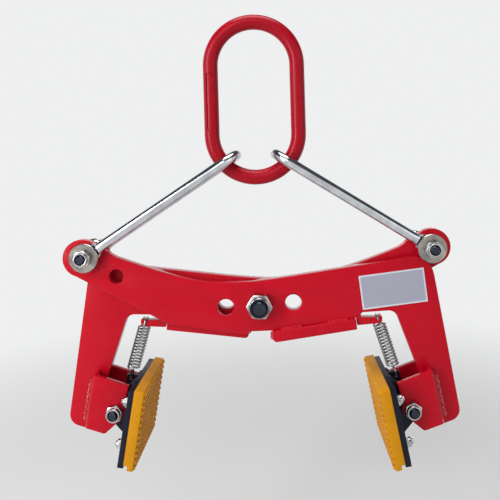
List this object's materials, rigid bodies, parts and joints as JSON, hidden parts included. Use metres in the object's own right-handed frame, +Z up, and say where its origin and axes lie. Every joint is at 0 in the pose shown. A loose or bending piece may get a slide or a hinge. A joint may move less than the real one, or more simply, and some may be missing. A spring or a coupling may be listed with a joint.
{
  "type": "slab lifting clamp",
  "caption": "Scissor clamp for lifting kerbs and slabs: two crossed steel arms on one bolt, hung from an oblong ring by bent rods, with sprung tilting grip pads.",
  "frame": {"origin": "inner crown of the master link, where a crane hook bears", "axes": "+Z up along the pull of the hook, +X from the left jaw to the right jaw, +Y from the nut side (front) to the bolt head side (back)"},
  "size_m": [0.412, 0.106, 0.4604],
  "materials": {
    "arm_paint": "gloss red enamel",
    "ring_paint": "gloss red enamel over a forged bar",
    "rod_chrome": "bright zinc, almost a mirror",
    "zinc": "bright zinc plated",
    "spring_steel": "drawn wire",
    "bracket_paint": "satin blue-black enamel",
    "pad_rubber": "cast yellow polyurethane, toothed",
    "label": "bare film"
  },
  "bodies": {
    "master_link": {"master_link": "ring_paint"},
    "left_link": {"left_link": "rod_chrome"},
    "front_arm": {"front_arm": "arm_paint", "front_arm_bar": "arm_paint", "front_arm_outer_cheek": "arm_paint", "front_arm_inner_cheek": "arm_paint", "label_plate": "label", "pivot_bolt": "zinc", "pivot_nut": "zinc", "pivot_spacer": "zinc", "left_ear_bolt": "zinc", "left_ear_nut": "zinc", "left_ear_washers": "zinc", "left_ear_spacer": "zinc", "right_jaw_bolt": "zinc", "right_jaw_nut": "zinc", "right_spring": "spring_steel"},
    "rear_arm": {"rear_arm": "arm_paint", "rear_arm_bar": "arm_paint", "rear_arm_outer_cheek": "arm_paint", "rear_arm_inner_cheek": "arm_paint", "right_ear_bolt": "zinc", "right_ear_nut": "zinc", "right_ear_washers": "zinc", "right_ear_spacer": "zinc", "left_jaw_bolt": "zinc", "left_jaw_nut": "zinc", "left_spring": "spring_steel"},
    "right_link": {"right_link": "rod_chrome"},
    "left_pad": {"left_pad_bracket": "bracket_paint", "left_grip_pad": "pad_rubber", "left_pad_studs": "zinc", "left_pad_nuts": "zinc"},
    "right_pad": {"right_pad_bracket": "bracket_paint", "right_grip_pad": "pad_rubber", "right_pad_studs": "zinc", "right_pad_nuts": "zinc"}
  },
  "joints": [
    {"name": "left_link_on_ring", "type": "hinge", "parent": "master_link", "child": "left_link", "pos_m": [-0.021, 0, -0.13312], "axis": [0, -1, 0], "range_deg": [0, 17.5]},
    {"name": "front_arm_on_left_link", "type": "hinge", "parent": "left_link", "child": "front_arm", "pos_m": [-0.18, 0, -0.23502], "axis": [0, 1, 0], "range_deg": [0, 42.5]},
    {"name": "scissor", "type": "hinge", "parent": "front_arm", "child": "rear_arm", "pos_m": [0, 0, -0.29002], "axis": [0, -1, 0], "range_deg": [0, 50]},
    {"name": "right_link_on_rear_arm", "type": "hinge", "parent": "rear_arm", "child": "right_link", "pos_m": [0.18, 0, -0.23502], "axis": [0, 1, 0], "range_deg": [0, 42.5]},
    {"name": "left_pad_tilt", "type": "hinge", "parent": "rear_arm", "child": "left_pad", "pos_m": [-0.153, 0.006, -0.39652], "axis": [0, -1, 0], "range_deg": [-16, 8.5], "stiffness_Nm_per_rad": 0.8, "springref_deg": 7.45, "deforming": ["left_spring"]},
    {"name": "right_pad_tilt", "type": "hinge", "parent": "front_arm", "child": "right_pad", "pos_m": [0.153, -0.006, -0.39652], "axis": [0, 1, 0], "range_deg": [-16, 8.5], "stiffness_Nm_per_rad": 0.8, "springref_deg": 7.45, "deforming": ["right_spring"]}
  ],
  "couplings": [
    {"joint": "left_link_on_ring", "follows": "scissor", "ratio": 0.35},
    {"joint": "front_arm_on_left_link", "follows": "scissor", "ratio": 0.85},
    {"joint": "right_link_on_rear_arm", "follows": "scissor", "ratio": 0.85}
  ]
}
